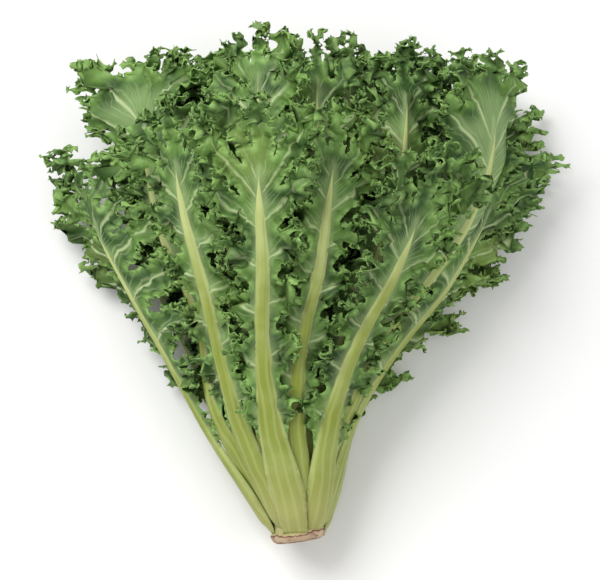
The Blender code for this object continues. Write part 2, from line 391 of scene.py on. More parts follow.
def flatMargin(leaf, side):
    along = np.linspace(0, 1, pattern["outlineSteps"])
    distance = ribDistance(leaf, along)
    length, lean, _, _, lobed = veins(leaf, along, side)
    stalk = along < pattern["bladeStart"]
    length, lobed = np.where(stalk, 0.0, length), np.where(stalk, 0.0, lobed)
    x = side * (closingRib(leaf, along, distance) + length * np.sin(lean))
    return np.column_stack([x, distance + length * np.cos(lean), lobed])


def lineLengths(line):
    return np.concatenate([[0], np.cumsum(np.hypot(*np.diff(line[:, :2], axis=0).T))])


def lineTangents(line):
    tangents = np.gradient(line[:, :2], axis=0)
    return tangents / np.maximum(np.hypot(*tangents.T), 1e-9)[:, None]


# the outline, up the right margin and down the left: first evenly and closely spaced for
# its scallops, then at the spacing of the mesh
def flatOutline(leaf, rng):
    right, left = flatMargin(leaf, 1), flatMargin(leaf, -1)
    line = np.vstack([right, left[::-1][1:]])
    lengths = lineLengths(line)
    step = pattern["scallopStep"]
    even = np.arange(0, lengths[-1], step)
    line = np.stack([np.interp(even, lengths, line[:, k]) for k in range(3)], 1)
    tangents = lineTangents(line)
    pitchShare, pitchOver = pattern["pitchVaries"]
    depthShare, depthOver = pattern["depthVaries"]
    for pitch, depth in pattern["scallops"]:
        local = pitch * (1 + pitchShare * wander(even, pitchOver * pitch, rng))
        turn = math.pi * np.cumsum(step / local) + rng.uniform(0, math.pi)
        size = depth * (1 + depthShare * wander(even, depthOver * pitch, rng))
        out = size * (np.abs(np.sin(turn)) - 0.5) * line[:, 2]
        line[:, :2] += np.stack([tangents[:, 1], -tangents[:, 0]], 1) * out[:, None]
    lengths = lineLengths(line)
    start = ribDistance(leaf, pattern["bladeStart"])
    fine = mix(*pattern["marginSpacing"], leaf["share"])
    # walk the line with a coarse step on the stalk and a fine one on the blade
    low = line[:, 1] < start - pattern["fineBelow"]
    density = np.where(low, 1 / pattern["stalkSpacing"], 1 / fine)
    count = np.concatenate([[0], np.cumsum(np.diff(lengths) * (density[1:] + density[:-1]) / 2)])
    at = np.interp(np.linspace(0, count[-1], int(count[-1])), count, lengths)
    points = np.stack([np.interp(at, lengths, line[:, k]) for k in range(3)], 1)
    return points[:, :2], at, points[:, 2]


# slices of a long array, so that comparing all its points with others needs little memory
def batches(count):
    size = 2000
    return [slice(begin, begin + size) for begin in range(0, count, size)]


def insideOutline(points, outline):
    ahead = np.roll(outline, -1, axis=0)
    inside = np.zeros(len(points), bool)
    for batch in batches(len(points)):
        x, y = points[batch].T[:, :, None]
        crosses = (outline[:, 1] > y) != (ahead[:, 1] > y)
        slope = (ahead[:, 0] - outline[:, 0]) / np.where(
            ahead[:, 1] == outline[:, 1], 1e-9, ahead[:, 1] - outline[:, 1])
        hit = crosses & (x < outline[:, 0] + (y - outline[:, 1]) * slope)
        inside[batch] = hit.sum(1) % 2 == 1
    return inside


# how far each point is from the nearest of the others, and which that is
def nearestIndex(points, others):
    away, closest = np.empty(len(points)), np.empty(len(points), int)
    for batch in batches(len(points)):
        part = points[batch]
        gap = (part[:, :1] - others[:, 0]) ** 2 + (part[:, 1:] - others[:, 1]) ** 2
        closest[batch] = gap.argmin(1)
        away[batch] = np.sqrt(gap.min(1))
    return away, closest


# the same to within a step of a closely spaced line, in half the time
def nearest(points, others):
    return nearestIndex(points, others[::2])[0]


# points inside the outline: rows that follow the margin, a grid between them, and rows
# across the rib
def innerPoints(leaf, outline, lengths, rng):
    fine = mix(*pattern["marginSpacing"], leaf["share"])
    start = ribDistance(leaf, pattern["bladeStart"])
    tangents = lineTangents(outline)
    inward = np.stack([-tangents[:, 1], tangents[:, 0]], 1)
    kept = []
    for deep, spacing in pattern["marginRows"]:
        deep, spacing = deep * fine, spacing * fine
        at = np.arange(0, lengths[-1], spacing)
        line = outline + inward * deep
        row = np.stack([np.interp(at, lengths, line[:, k]) for k in (0, 1)], 1)
        kept.append((row, pattern["rowClearance"] * deep, pattern["rowCell"] * spacing))
    spacing = pattern["innerSpacing"] * fine
    low, high = outline.min(0), outline.max(0)
    rows = np.arange(low[1], high[1], spacing * 0.866)  # rows of even triangles
    grid = [(x + (k % 2) * spacing / 2, y) for k, y in enumerate(rows)
            for x in np.arange(low[0], high[0], spacing)]
    shift = pattern["innerShift"]
    grid = np.array(grid) + rng.uniform(-shift, shift, (len(grid), 2)) * spacing
    clear = (pattern["marginRows"][-1][0] + pattern["innerClearance"]) * fine
    kept.append((grid, clear, pattern["innerCell"] * spacing))
    points = []
    for row, away, cell in kept:
        half = ribHalfAt(leaf, row[:, 1])
        blade = (np.abs(row[:, 0]) > half + pattern["besideRib"]) | (row[:, 1] > ribEnd(leaf))
        row = row[blade & (row[:, 1] > start - pattern["belowBlade"])]
        row = row[(nearest(row, outline) > away) & insideOutline(row, outline)]
        _, first = np.unique(np.round(row / cell), axis=0, return_index=True)
        points.append(row[np.sort(first)])
    steps = int((ribEnd(leaf) - leaf["base"]) / pattern["ribSpacing"])
    ends = pattern["ribEnds"]
    distance = np.linspace(leaf["base"] + ends, ribEnd(leaf) - ends, steps)
    half = ribHalfAt(leaf, distance)
    rib = np.vstack([np.stack([share * half, distance], 1) for share in pattern["acrossRib"]])
    apart = nearest(rib, outline) > pattern["ribClearance"]
    points.append(rib[apart & insideOutline(rib, outline)])
    return np.vstack(points)


# triangles inside the outline. What comes back is points, faces and the outline's own facts
def cutPattern(leaf, rng):
    outline, lengths, lobed = flatOutline(leaf, rng)
    points = np.vstack([outline, innerPoints(leaf, outline, lengths, rng)])
    ring = [(k, (k + 1) % len(outline)) for k in range(len(outline))]
    made = geometry.delaunay_2d_cdt([Vector(p) for p in points], ring, [], 0, 1e-7, False)
    flat = np.array([tuple(p) for p in made[0]])
    faces = np.array(made[2])
    centres = flat[faces].mean(1)
    faces = faces[insideOutline(centres, outline)]
    used = np.unique(faces)
    renumbered = np.full(len(flat), -1)
    renumbered[used] = np.arange(len(used))
    return flat[used], renumbered[faces], outline, lengths, lobed


# which vein each flat point lies on: share of the rib, length from the rib, count of lobes,
# and the blade's width there
def veinPlaces(leaf, flat):
    along, length, turn, room = (np.zeros(len(flat)) for _ in range(4))
    shares = np.linspace(pattern["bladeStart"], 1, pattern["veinSteps"])
    distance = ribDistance(leaf, shares)
    half = closingRib(leaf, shares, distance)
    for side in (-1, 1):
        _, lean, turns, rooms, _ = veins(leaf, shares, side)
        mine = np.flatnonzero((flat[:, 0] >= 0) == (side > 0))
        x, y = np.abs(flat[mine, 0])[:, None], flat[mine, 1][:, None]
        beside = (x - half) * np.cos(lean) - (y - distance) * np.sin(lean)  # below the vein
        passed = beside >= 0
        k = np.where(passed.any(1), passed.argmax(1), len(shares) - 1)
        j = np.maximum(k - 1, 0)
        rows = np.arange(len(mine))
        low, high = beside[rows, j], beside[rows, k]
        between = (k > j) & (low < 0) & (high >= 0)
        u = np.where(between, -low / np.maximum(high - low, 1e-9), 1.0)
        here = mix(shares[j], shares[k], u)
        along[mine] = here
        leanHere = np.interp(here, shares, lean)
        length[mine] = ((x[:, 0] - np.interp(here, shares, half)) * np.sin(leanHere)
                        + (y[:, 0] - np.interp(here, shares, distance)) * np.cos(leanHere))
        turn[mine] = np.interp(here, shares, turns)
        room[mine] = np.interp(here, shares, rooms)
    return along, np.maximum(length, 0), turn, np.maximum(room, pattern["leastRoom"])


# frills: waves along the margin that die away towards the rib

frill = {
    # length of a wave, height off the blade, sideways roll
    "waves": ((0.075, 0.0065, 0.0), (0.025, 0.0058, 0.0022), (0.0074, 0.0045, 0.0018),
              (0.0037, 0.0025, 0.0010)),
    # how much their length and their height vary, and over how many lengths
    "lengthVaries": (0.3, 2.3),
    "heightVaries": (0.5, 3.1),
    "lobePower": 0.7,  # below 1, the frills reach further into the notches
    "smallLeafPower": 0.3,
    "fadePower": 2.7,  # how fast the waves die away from the margin
    "fadeStart": 0.0005,
    "ribStep": 0.003,  # between the still points along the rib
}


def marginWaves(leaf, outline, lengths, lobed, rng):
    scale = leaf["blade"] / spiral["bladeWidth"][0]
    strength = lobed ** frill["lobePower"] * scale ** frill["smallLeafPower"]
    steps = np.gradient(lengths)
    lift, along = np.zeros(len(outline)), np.zeros(len(outline))
    lengthShare, lengthOver = frill["lengthVaries"]
    heightShare, heightOver = frill["heightVaries"]
    for length, height, roll in frill["waves"]:
        local = length * (1 + lengthShare * wander(lengths, lengthOver * length, rng))
        phase = math.tau * np.cumsum(steps / local) + rng.uniform(0, math.tau)
        size = 1 + heightShare * wander(lengths, heightOver * length, rng)
        lift += height * size * np.sin(phase)
        along -= roll * size * np.sin(2 * phase)
    shift = lineTangents(outline) * along[:, None]
    return np.column_stack([shift, lift]) * strength[:, None], steps


# carries the margin's waves into the blade, with the rib held still
def spreadWaves(leaf, flat, outline, waves, steps):
    distance = np.arange(leaf["base"], ribEnd(leaf), frill["ribStep"])
    half = ribHalfAt(leaf, distance)
    rib = np.vstack([np.stack([side * half, distance], 1) for side in (-1, 1)])
    anchors = np.vstack([outline, rib])
    weights = np.concatenate([steps, np.full(len(rib), frill["ribStep"])])
    values = np.vstack([waves, np.zeros((len(rib), 3))])
    moved = np.empty((len(flat), 3))
    for batch in batches(len(flat)):
        gap = flat[batch, None, :] - anchors[None]
        away = (gap ** 2).sum(2) + frill["fadeStart"] ** 2
        pull = weights / away ** frill["fadePower"]
        moved[batch] = pull @ values / pull.sum(1)[:, None]
    return moved


# growth: the margin is longer than the blade beside it, so the sheet buckles

growth = {
    # how much longer the margin has grown, as a share, and how far in that fades
    "extra": ((1.8, 0.0118), (3.7, 0.0030)),
    "rounds": 110,
    "pull": 1.5,  # how strongly an edge takes its new length, each round
    "bending": 0.035,  # how strongly the blade smooths itself
    "hold": 0.004,  # how strongly it keeps to its layer of the head
    "heldBeside": 1.05,  # the rib is held, up to this many times its width
}


def uniqueEdges(faces):
    edges = np.vstack([faces[:, [0, 1]], faces[:, [1, 2]], faces[:, [2, 0]]])
    return np.unique(np.sort(edges, axis=1), axis=0)


# the sum at each point of the values of its edges
def addUp(count, index, values):
    return np.stack([np.bincount(index, values[:, k], count) for k in range(3)], 1)


def growMargin(leaf, flat, faces, outline, lobed, still, moved):
    edges = uniqueEdges(faces)
    a, b = edges[:, 0], edges[:, 1]
    rest = np.linalg.norm(still[a] - still[b], axis=1)
    # the grown margin lengthens edges that run along it
    middle = (flat[a] + flat[b]) / 2
    away, closest = nearestIndex(middle, outline)
    tangent = lineTangents(outline)[closest]
    run = flat[b] - flat[a]
    run /= np.maximum(np.hypot(*run.T), 1e-9)[:, None]
    beside = (run * tangent).sum(1) ** 2
    extra = sum(share * np.exp(-away / band) for share, band in growth["extra"])
    target = rest * (1 + extra * lobed[closest] ** frill["lobePower"] * beside)
    held = ribHalfAt(leaf, flat[:, 1]) * growth["heldBeside"]
    onRib = (np.abs(flat[:, 0]) < held) & (flat[:, 1] < ribEnd(leaf))
    free = np.where(onRib, 0.0, 1.0)[:, None]
    count = len(flat)
    degree = np.bincount(a, minlength=count) + np.bincount(b, minlength=count)
    degree = np.maximum(degree, 1)[:, None]
    points = moved.copy()
    for _ in range(growth["rounds"]):
        gap = points[b] - points[a]
        length = np.maximum(np.linalg.norm(gap, axis=1), 1e-7)
        push = gap * (0.5 * growth["pull"] * (length - target) / length)[:, None]
        change = addUp(count, a, push) - addUp(count, b, push)
        mean = (addUp(count, a, points[b]) + addUp(count, b, points[a])) / degree
        points += free * (change / degree + growth["bending"] * (mean - points)
                          + growth["hold"] * (moved - points))
    return points


# bending a flat leaf on to the head

bend = {
    # small waves that neighbouring leaves share, so that their blades nest
    "sharedRuffle": 0.0345,
    "ruffleLength": 0.031,
    "rufflesRound": 19,
    "crownRises": 0.4,
    "flareShares": (0.35, 0.65),  # of the whole crown, and of its outer parts
    "facing": (0.5, 0.8),
    # leaves that stand open a little beyond their layer
    "opened": {
        2: 0.02, 6: 0.02, 10: 0.07, 11: 0.12, 4: 0.05, 7: 0.04, 9: 0.06, 12: 0.05, 14: 0.04,
    },
    "nestled": {10: 0.13, 11: 0.10, 13: 0.10},  # feet that fill the gaps beside the side leaves
    "nestlesFrom": 0.03,
    "nestlingEnds": (0.08, 0.06),
    "cupped": {2: 0.30, 6: 0.20},  # side leaves whose upper half folds in over the head
    "halfWidth": 0.020,  # from the rib, until such a half is folded or swung out in full
    "ribClearance": 0.0030,
    "pastTip": 0.2,
    "shoulder": 0.003,  # beside an outer rib, a leaf comes up again
    "shoulderRise": 60,
    "leastDepth": 0.02,
}


# an inner leaf never comes up through the rib of a leaf outside it
def tuckUnder(leaf, distance, angle, depth):
    for outer in leaves[: leaf["rank"]]:
        settled = smooth(distance / head["settled"])
        ribAngle = mix(outer["baseAngle"], outer["angle"], settled)
        ribDepth = mix(outer["baseDepth"], outer["depth"], settled)
        away = turnBetween(angle, ribAngle) * arcRate(distance, angle) * ribDepth
        away = away - ribHalfAt(outer, distance)
        away = away + bend["pastTip"] * np.maximum(distance - ribEnd(outer), 0)
        local = section(distance)[1]
        rise = np.maximum(away - bend["shoulder"], 0) ** 2 * bend["shoulderRise"] / local
        depth = np.minimum(depth, ribDepth - bend["ribClearance"] / local + rise)
    return depth


def bendLeaf(leaf, flat, moved, places):
    along, length, _, room = places
    x, distance = flat[:, 0] + moved[:, 0], flat[:, 1] + moved[:, 1]
    settled = smooth(distance / head["settled"])
    angle = mix(leaf["baseAngle"], leaf["angle"], settled)
    depth = mix(leaf["baseDepth"], leaf["depth"], settled)
    angle = angle + x / (depth * arcRate(distance, angle))
    outward = np.clip(length / room, 0, 1)
    crown = ease(along, pattern["bladeStart"], bend["crownRises"])
    ruffle = np.cos(math.tau * distance / bend["ruffleLength"])
    ruffle = (ruffle + np.cos(bend["rufflesRound"] * angle)) / 2
    nest = bend["sharedRuffle"] * tightness(leaf["depth"])
    depth = depth + nest * outward ** 2 * crown * ruffle
    level, slope = bend["facing"]
    facing = np.clip(level + slope * np.cos(angle), 0, 1)
    whole, outer = bend["flareShares"]
    depth = depth + leaf["flare"] * facing * crown * (whole * crown + outer * outward ** 2)
    depth = depth + bend["opened"].get(leaf["rank"], 0.0) * crown ** 2
    low = smooth(distance / bend["nestlesFrom"]) * (1 - ease(distance, *bend["nestlingEnds"]))
    depth = depth + bend["nestled"].get(leaf["rank"], 0.0) * low
    swing, begins, ends = leaf["swing"]
    across = x * math.copysign(1, leaf["angle"]) / bend["halfWidth"]
    lowerHalf, upperHalf = smooth(across), smooth(-across)
    depth = depth + swing * outward * lowerHalf * ease(distance, begins, ends - begins)
    depth = depth - bend["cupped"].get(leaf["rank"], 0.0) * outward * upperHalf * crown
    halfWidth, rise, drop, _, _ = section(distance)
    side = np.where(np.cos(angle) > 0, rise, drop)
    local = np.hypot(halfWidth * np.sin(angle), side * np.cos(angle))
    depth = depth + moved[:, 2] / local
    return headPoint(distance, angle, np.maximum(depth, bend["leastDepth"]))


# the head's own terms for a point: distance, angle and depth
def headPlace(points):
    def clear(value):  # never quite 0, to divide by
        return np.where(np.abs(value) < 1e-6, 1e-6, value)

    distance = points[:, 1]
    _, _, _, middle, lean = section(distance)
    x, z = points[:, 0] + lean, points[:, 2] - middle
    angle = np.arctan2(x, z)
    for _ in range(5):
        outside = headPoint(distance, angle, 1.0)
        wide = (outside[:, 0] + lean) / clear(np.sin(angle))
        tall = (outside[:, 2] - middle) / clear(np.cos(angle))
        angle = np.arctan2(x / wide, z / tall)
    outside = headPoint(distance, angle, 1.0)
    depth = np.hypot(x, z) / np.hypot(outside[:, 0] + lean, outside[:, 2] - middle)
    return distance, angle, depth


def settleLeaf(leaf, points):
    distance, angle, depth = headPlace(points)
    depth = tuckUnder(leaf, distance, angle, depth)
    return atRest(headPoint(distance, angle, np.maximum(depth, bend["leastDepth"])))


def pointNormals(points, faces):
    a, b, c = (points[faces[:, k]] for k in range(3))
    across = np.cross(b - a, c - a)
    normals = np.zeros_like(points)
    for k in range(3):
        np.add.at(normals, faces[:, k], across)
    return normals / np.maximum(np.linalg.norm(normals, axis=1), 1e-12)[:, None]


# from a bent sheet to a closed leaf

leafBody = {
    "bladeThickness": 0.00045,
    "footShare": 0.15,  # of the rib's thickness
    "footLength": 0.012,
    "tipShare": 0.3,
    "thins": (0.3, 0.7),
    "edgeRoll": 0.10,  # the rolled edges of the rib
    "edgeWidth": 0.35,
    "fades": (-0.01, 0.02),  # from the end of the rib
    "footing": 0.0001,  # lowest place above the floor
    "seed": 700,
    # for the material: where the rib runs out into veins, and the painted shade that darkens the
    # inner leaves
    "runsOut": (0.70, 0.28),
    "runOut": 1.25,
    "innerShadeRanks": (8, 14),  # ranks
    "darker": 1.3,
    "ribEdgeLimit": 3.0,
    # the layout for textures
    "layoutShare": 0.98,
    "layoutMargin": 0.005,
}


def leafThickness(leaf, flat):
    along = ribAlong(leaf, flat[:, 1])
    half = ribHalfWidth(leaf, along, flat[:, 1])
    offset = np.abs(flat[:, 0]) / np.maximum(half, 1e-5)
    foot = smooth((flat[:, 1] - leaf["base"]) / leafBody["footLength"])
    fullness = mix(leafBody["footShare"], 1.0, foot)
    fullness *= mix(1.0, leafBody["tipShare"], ease(along, *leafBody["thins"]))
    bulge = np.sqrt(np.clip(1 - offset ** 2, 0, 1))
    edge = np.exp(-((offset - 1) / leafBody["edgeWidth"]) ** 2)
    bulge = bulge + leafBody["edgeRoll"] * edge
    fades = 1 - ease(flat[:, 1] - ribEnd(leaf), *leafBody["fades"])
    return leaf["thickness"] * fullness * bulge * fades


# the edges that belong to one triangle only
def rimEdges(faces):
    edges = np.vstack([faces[:, [0, 1]], faces[:, [1, 2]], faces[:, [2, 0]]])
    keys = edges.min(1) * (faces.max() + 1) + edges.max(1)
    _, first, counts = np.unique(keys, return_index=True, return_counts=True)
    return edges[first[counts == 1]]


def onTable(points, clearance):
    return np.column_stack([points[:, :2], np.maximum(points[:, 2], clearance)])


# makes the piece and returns how many triangles it has
def makeLeaf(leaf, material):
    rng = np.random.default_rng(leafBody["seed"] + leaf["rank"])
    flat, faces, outline, lengths, lobed = cutPattern(leaf, rng)
    places = veinPlaces(leaf, flat)
    waves, steps = marginWaves(leaf, outline, lengths, lobed, rng)
    moved = spreadWaves(leaf, flat, outline, waves, steps)
    still = bendLeaf(leaf, flat, np.zeros((len(flat), 3)), places)
    waved = bendLeaf(leaf, flat, moved, places)
    grown = growMargin(leaf, flat, faces, outline, lobed, still, waved)
    middle = onTable(settleLeaf(leaf, grown), head["tableClearance"])
    normals = pointNormals(middle, faces)
    skin = leafBody["bladeThickness"] / 2
    outer = middle + normals * (skin + leafThickness(leaf, flat))[:, None]
    inner = middle - normals * skin
    points = onTable(np.vstack([outer, inner]), leafBody["footing"])
    count = len(flat)
    rim = rimEdges(faces)
    a, b = rim[:, 0], rim[:, 1]
    allFaces = np.vstack([
        faces, faces[:, ::-1] + count,
        np.column_stack([b, a, a + count]), np.column_stack([b, a + count, b + count])])
    mesh = bpy.data.meshes.new(leaf["name"])
    mesh.from_pydata(points.tolist(), [], allFaces.tolist())
    mesh.materials.append(material)
    mesh.shade_smooth()
    # what the material reads: on the rib ribEdge goes from 0 to 1 at its edge
    _, length, turn, _ = places
    x, distance = flat.T
    bladeEdge = outline[outline[:, 1] > ribDistance(leaf, pattern["bladeStart"])]
    runOut = leafBody["runOut"] * ease(ribAlong(leaf, distance), *leafBody["runsOut"])
    ribEdge = np.abs(x) / ribHalfAt(leaf, distance) + runOut
    # each leaf's own random tone, less painted shade that darkens the inner leaves
    toneAndShade = rng.uniform(-1, 1) - leafBody["darker"] * ease(leaf["rank"], *leafBody["innerShadeRanks"])
    looks = {
        "ribEdge": np.minimum(ribEdge, leafBody["ribEdgeLimit"]),
        "toneAndShade": np.full(count, toneAndShade),
        "fromMargin": nearest(flat, bladeEdge),
        "veinTurn": turn,
        "veinLength": length,
        "acrossRib": x,
        "distance": distance,
    }
    for name, values in looks.items():
        layer = mesh.attributes.new(name, "FLOAT", "POINT")
        layer.data.foreach_set("value", np.tile(values, 2).astype(np.float32))
    layOutFlat(mesh, flat)
    piece = bpy.data.objects.new("escarole_" + leaf["name"], mesh)
    bpy.context.scene.collection.objects.link(piece)
    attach(piece, "root")
    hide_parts(leaf["name"])
    return len(allFaces)


# the flat pattern serves as the layout for textures: outer face left, inner face right
def layOutFlat(mesh, flat):
    low, high = flat.min(0), flat.max(0)
    scale = leafBody["layoutShare"] / max(2 * (high[0] - low[0]), high[1] - low[1])
    spots = (flat - low) * scale + leafBody["layoutMargin"]
    spots = np.vstack([spots, spots + [0.5, 0]])
    corners = np.empty(len(mesh.loops), int)
    mesh.loops.foreach_get("vertex_index", corners)
    layer = mesh.uv_layers.new(name="OFBake")
    layer.data.foreach_set("uv", spots[corners].astype(np.float32).ravel())


# materials

# a socket that can be used in sums: each operator adds its node
class Flow:
    def __init__(self, tree, socket):
        self.tree, self.socket = tree, socket

    # any node: settings first, then values or links for its sockets
    def node(self, kind, settings=None, inputs=None, output=0):
        made = self.tree.nodes.new(kind)
        for name, value in (settings or {}).items():
            setattr(made, name, value)
        for name, value in (inputs or {}).items():
            if isinstance(value, Flow):
                self.tree.links.new(value.socket, made.inputs[name])
            else:
                made.inputs[name].default_value = value
        return Flow(self.tree, made.outputs[output])

    def math(self, operation, *others):
        inputs = dict(enumerate((self, *others)))
        return self.node("ShaderNodeMath", {"operation": operation}, inputs)

    def __add__(self, other):
        return self.math("ADD", other)

    def __sub__(self, other):
        return self.math("SUBTRACT", other)

    def __rsub__(self, other):
        return self * -1.0 + other

    def __mul__(self, other):
        return self.math("MULTIPLY", other)

    __radd__, __rmul__ = __add__, __mul__

    # 0 below low, 1 above high, smooth between
    def step(self, low, high):
        return self.node("ShaderNodeMapRange", {"interpolation_type": "SMOOTHSTEP"},
                         {"Value": self, "From Min": low, "From Max": high})

    def noise(self, scale, detail):
        inputs = {"Vector": self, "Scale": scale, "Detail": detail}
        return self.node("ShaderNodeTexNoise", None, inputs)

    def bump(self, strength, distance):
        inputs = {"Strength": strength, "Distance": distance, "Height": self}
        return self.node("ShaderNodeBump", None, inputs)

    # this value as the share of the second colour
    def between(self, first, second):
        inputs = {0: self, 6: first, 7: second}
        inputs = {k: (*v, 1) if isinstance(v, tuple) else v for k, v in inputs.items()}
        return self.node("ShaderNodeMix", {"data_type": "RGBA"}, inputs, output=2)


def newMaterial(name):
    material = bpy.data.materials.new(name)
    material.use_nodes = True
    shader = material.node_tree.nodes["Principled BSDF"]
    return material, shader, Flow(material.node_tree, None)


def feed(flow, shader, **sockets):
    for name, value in sockets.items():
        flow.tree.links.new(value.socket, shader.inputs[name])


leafLooks = {
    "deepGreen": (0.018, 0.060, 0.008),
    "midGreen": (0.113, 0.224, 0.042),
    "edgeHighlightGreen": (0.330, 0.535, 0.160),
    "fanGreen": (0.215, 0.330, 0.120),
    "yellowGreen": (0.250, 0.330, 0.060),
    "veinPale": (0.48, 0.58, 0.29),
    "ribPale": (0.46, 0.52, 0.20),
    "ribGreen": (0.24, 0.29, 0.042),
    "ribFoot": (0.37, 0.37, 0.120),
    "roughness": 0.50,
    "bump": (0.55, 0.0006),  # strength, height in metres
    "subsurface": (0.15, 0.0012),
    "specular": 0.25,
    # how fine, in waves a metre
    "patchScale": 38.0,
    "yellowScale": 14.0,
    "crispScale": 210.0,
    "puckerScale": 420.0,
    "streaks": 1100.0,
    "ridges": 4200.0,
    # where each fades, in metres: veins towards the margin and beside the middle of the rib,
    # the smooth blade away from the frills, the painted highlight along the margin, the duller
    # foot of the ribs
    "veinReach": 0.05,
    "veinFade": (0.001, 0.010),
    "veinMiddle": (0.0005, 0.0030),
    "webWidth": 0.006,
    "fanFade": (0.004, 0.018),
    "edgeWidth": 0.0055,
    "footFade": 0.06,
    "yellowFade": (0.13, 0.20),
}


def leafMaterial():
    material, shader, flow = newMaterial("curly_leaf")
    looks = leafLooks
    place = flow.node("ShaderNodeTexCoord", output="Object")

    def read(name):
        return flow.node("ShaderNodeAttribute", {"attribute_name": name}, output="Fac")

    def noise(scale, detail=3.0):
        return place.noise(scale, detail)

    ribEdge, margin, distance = read("ribEdge"), read("fromMargin"), read("distance")
    length, turn, across = read("veinLength"), read("veinTurn"), read("acrossRib")
    rib = 1 - ribEdge.step(0.90, 1.14)
    # a main vein up the middle of each lobe with fine ones fanning beside it, all thinning
    # towards the margin
    lobe = (turn - 0.5) - (turn - 0.5).math("ROUND")
    reach = 1 - length.step(0.0, looks["veinReach"])
    thick = 0.016 + (0.030 + 0.040 * turn.step(3.5, 6.0)) * reach
    mainVein = 1 - lobe.math("ABSOLUTE").step(0.004, thick)
    fine = turn * 5.0 + noise(45.0) * 2.2
    fineVein = 1 - (fine - fine.math("ROUND")).math("ABSOLUTE").step(0.02, 0.17)
    fade = margin.step(*looks["veinFade"])
    fade = fade * across.math("ABSOLUTE").step(*looks["veinMiddle"])
    vein = (mainVein * 0.95).math("MAXIMUM", fineVein * (0.12 + 0.26 * reach)) * fade
    # the blade near the rib is pale too
    web = (1 - length.step(0.0, looks["webWidth"])) * 0.28
    vein = vein.math("MAXIMUM", web * margin.step(0.001, 0.006))
    patches, crisp = noise(looks["patchScale"]), noise(looks["crispScale"])
    # dark patches from noise and each leaf's own tone, with painted shade on the inner leaves
    dark = (patches + 0.12 * read("toneAndShade")).step(0.34, 0.62)
    blade = dark.between(looks["deepGreen"], looks["midGreen"])
    yellow = noise(looks["yellowScale"]).step(0.52, 0.68) * 0.35
    blade = yellow.between(blade, looks["yellowGreen"])
    # smooth blade away from the frills is greyer and lighter
    blade = (margin.step(*looks["fanFade"]) * 0.8).between(blade, looks["fanGreen"])
    # painted highlight along the frilled margin, broken up by noise
    edge = (1 - margin.step(0.0, looks["edgeWidth"])) * (0.35 + 0.65 * crisp.step(0.35, 0.65))
    blade = (edge * 0.75).between(blade, looks["edgeHighlightGreen"])
    blade = (vein * 0.85).between(blade, looks["veinPale"])
    # ribs are yellow green in patches, less so high up and along their edges
    green = patches * 0.7 + 0.3 - distance.step(*looks["yellowFade"]) * 0.45
    green = green - ribEdge.step(0.65, 0.95) * 0.25
    ribs = green.step(0.15, 0.75).between(looks["ribPale"], looks["ribGreen"])
    ribs = (1 - distance.step(0.0, looks["footFade"])).between(ribs, looks["ribFoot"])
    streaks = (across * looks["streaks"] + noise(22.0) * 9.0).math("SINE").step(0.1, 0.9)
    ribs = (streaks * 0.30).between(ribs, looks["ribPale"])
    colour = rib.between(blade, ribs)
    # lengthwise ridges on the ribs, a fine pucker on the blades
    ridges = (across * looks["ridges"] + patches * 2.0).math("SINE") * 0.5
    pucker = noise(looks["puckerScale"], 2.0)
    height = rib * ridges * 0.30 + (1 - rib) * (pucker * 0.8 + vein * 1.1)
    rough = looks["roughness"] + 0.12 * patches - 0.08 * rib
    normal = height.bump(*looks["bump"])
    feed(flow, shader, **{"Base Color": colour, "Roughness": rough, "Normal": normal})
    weight, scale = looks["subsurface"]
    shader.inputs["Subsurface Weight"].default_value = weight
    shader.inputs["Subsurface Radius"].default_value = (0.5, 1.0, 0.2)
    shader.inputs["Subsurface Scale"].default_value = scale
    shader.inputs["Specular IOR Level"].default_value = looks["specular"]
    return material


curly = leafMaterial()
counts = [makeLeaf(leaf, curly) for leaf in leaves]
print("leaves made:", sum(counts), "triangles,", max(counts), "in the largest")


# the cut stem

cutStem = {
    "radius": 0.0146,
    # the rounded collar that the leaves come out of: radius, distance from the cut
    "collar": [(0.0151, 0.0005), (0.0162, 0.0014), (0.0171, 0.0027), (0.0178, 0.0044),
               (0.0181, 0.0056), (0.0175, 0.0064)],
    "knob": 0.0075,  # above here it narrows inside the feet of the leaves
    "tip": 0.043,
    "dome": 0.002,
    "gap": 0.0006,  # to the leaves
    "leastRadius": 0.0004,
    "around": 72,
    "rings": 14,  # rings across the cut face
    "coreRings": 12,
    "wobbles": (2, 3, 5, 8, 13),  # waves round the rim
    "fineWobble": 0.35,
    "raggedEdge": 0.0007,
    "raggedWidth": 0.002,
    "edgeStep": 0.0004,
    "grain": 0.00025,
    "collarWave": 0.0013,
    # brown bands: how brown, the middle, the width
    "collarBand": (0.9, 0.0052, 0.0009),
    "cutBand": (0.6, 0.0146, 0.0018),
    "sideFrom": (0.0058, 0.0066),
    "bump": (0.7, 0.0008),
    "seed": 41,
    "flesh": (0.42, 0.25, 0.16),
    "paleFlesh": (0.55, 0.42, 0.27),
    "brownRim": (0.10, 0.035, 0.014),
    "paleSide": (0.38, 0.36, 0.150),
}


def stemMaterial():
    material, shader, flow = newMaterial("cut_stem_brown")
    place = flow.node("ShaderNodeTexCoord", output="Object")
    rim = flow.node("ShaderNodeAttribute", {"attribute_name": "rimShare"}, output="Fac")
    fromCut = flow.node("ShaderNodeAttribute", {"attribute_name": "fromCut"}, output="Fac")
    blots, broad = place.noise(240.0, 4.0), place.noise(90.0, 2.0)
    flesh = broad.step(0.35, 0.65).between(cutStem["paleFlesh"], cutStem["flesh"])
    flesh = (blots.step(0.56, 0.70) * 0.7).between(flesh, cutStem["brownRim"])
    colour = (rim + 0.5 * (blots - 0.5)).step(0.35, 0.75).between(flesh, cutStem["brownRim"])
    colour = fromCut.step(*cutStem["sideFrom"]).between(colour, cutStem["paleSide"])
    rough, normal = 0.62 + 0.25 * blots, blots.bump(*cutStem["bump"])
    feed(flow, shader, **{"Base Color": colour, "Roughness": rough, "Normal": normal})
    return material


# 1 at the middle of a band, less on both sides
def band(x, middle, width):
    return math.exp(-((x - middle) / width) ** 2)


